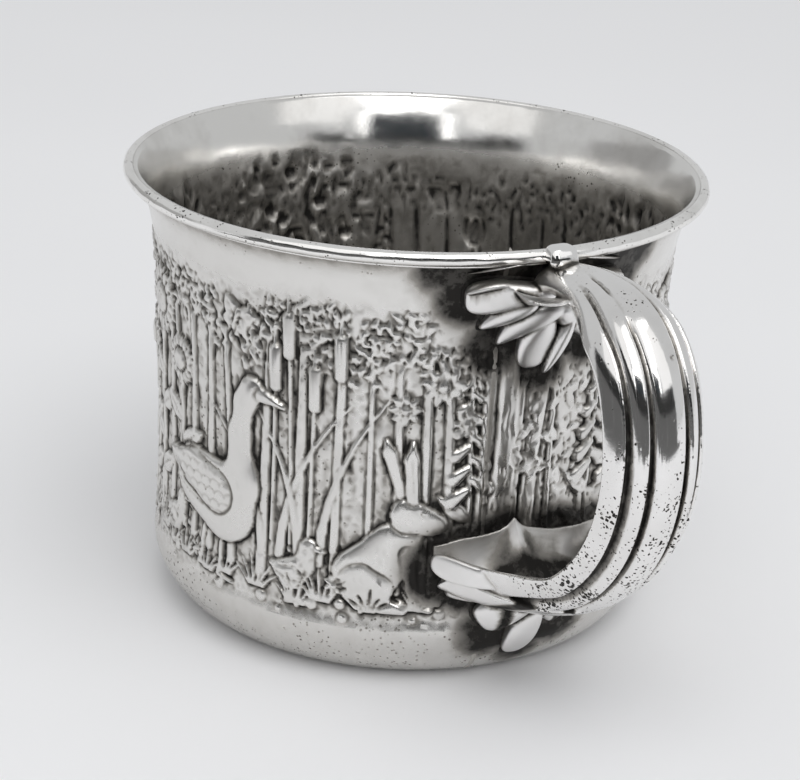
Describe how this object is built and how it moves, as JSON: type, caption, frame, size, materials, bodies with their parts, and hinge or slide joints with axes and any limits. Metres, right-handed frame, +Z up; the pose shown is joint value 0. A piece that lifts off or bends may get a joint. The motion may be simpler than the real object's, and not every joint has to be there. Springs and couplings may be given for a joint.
{
  "type": "baby cup",
  "caption": "Child's handled drinking cup with a flared mouth, moulded lip, rounded heel, low-relief garden frieze and a fluted cast handle with leaf ends.",
  "frame": {"origin": "on the table, on the cup's axis, at the middle of the flat bottom", "axes": "+Z up along the cup's axis, +X from the axis towards the handle"},
  "size_m": [0.1117, 0.084, 0.0665],
  "materials": {
    "wall_silver": "rolled silver sheet in low relief, high spots polished, recesses oxidised dark",
    "polished_silver": "cast silver, polished by use, small casting pits and dark oxidised flutes",
    "plain_silver": "plain planished silver sheet, soft satin",
    "solder": "silver solder, dull and slightly rough"
  },
  "bodies": {
    "root": {"wall": "wall_silver", "wall_seam_solder": "solder", "lip_wire": "polished_silver", "bottom": "plain_silver", "bottom_solder": "solder", "handle": "polished_silver", "handle_top_solder": "solder", "handle_foot_solder": "solder"}
  },
  "joints": []
}
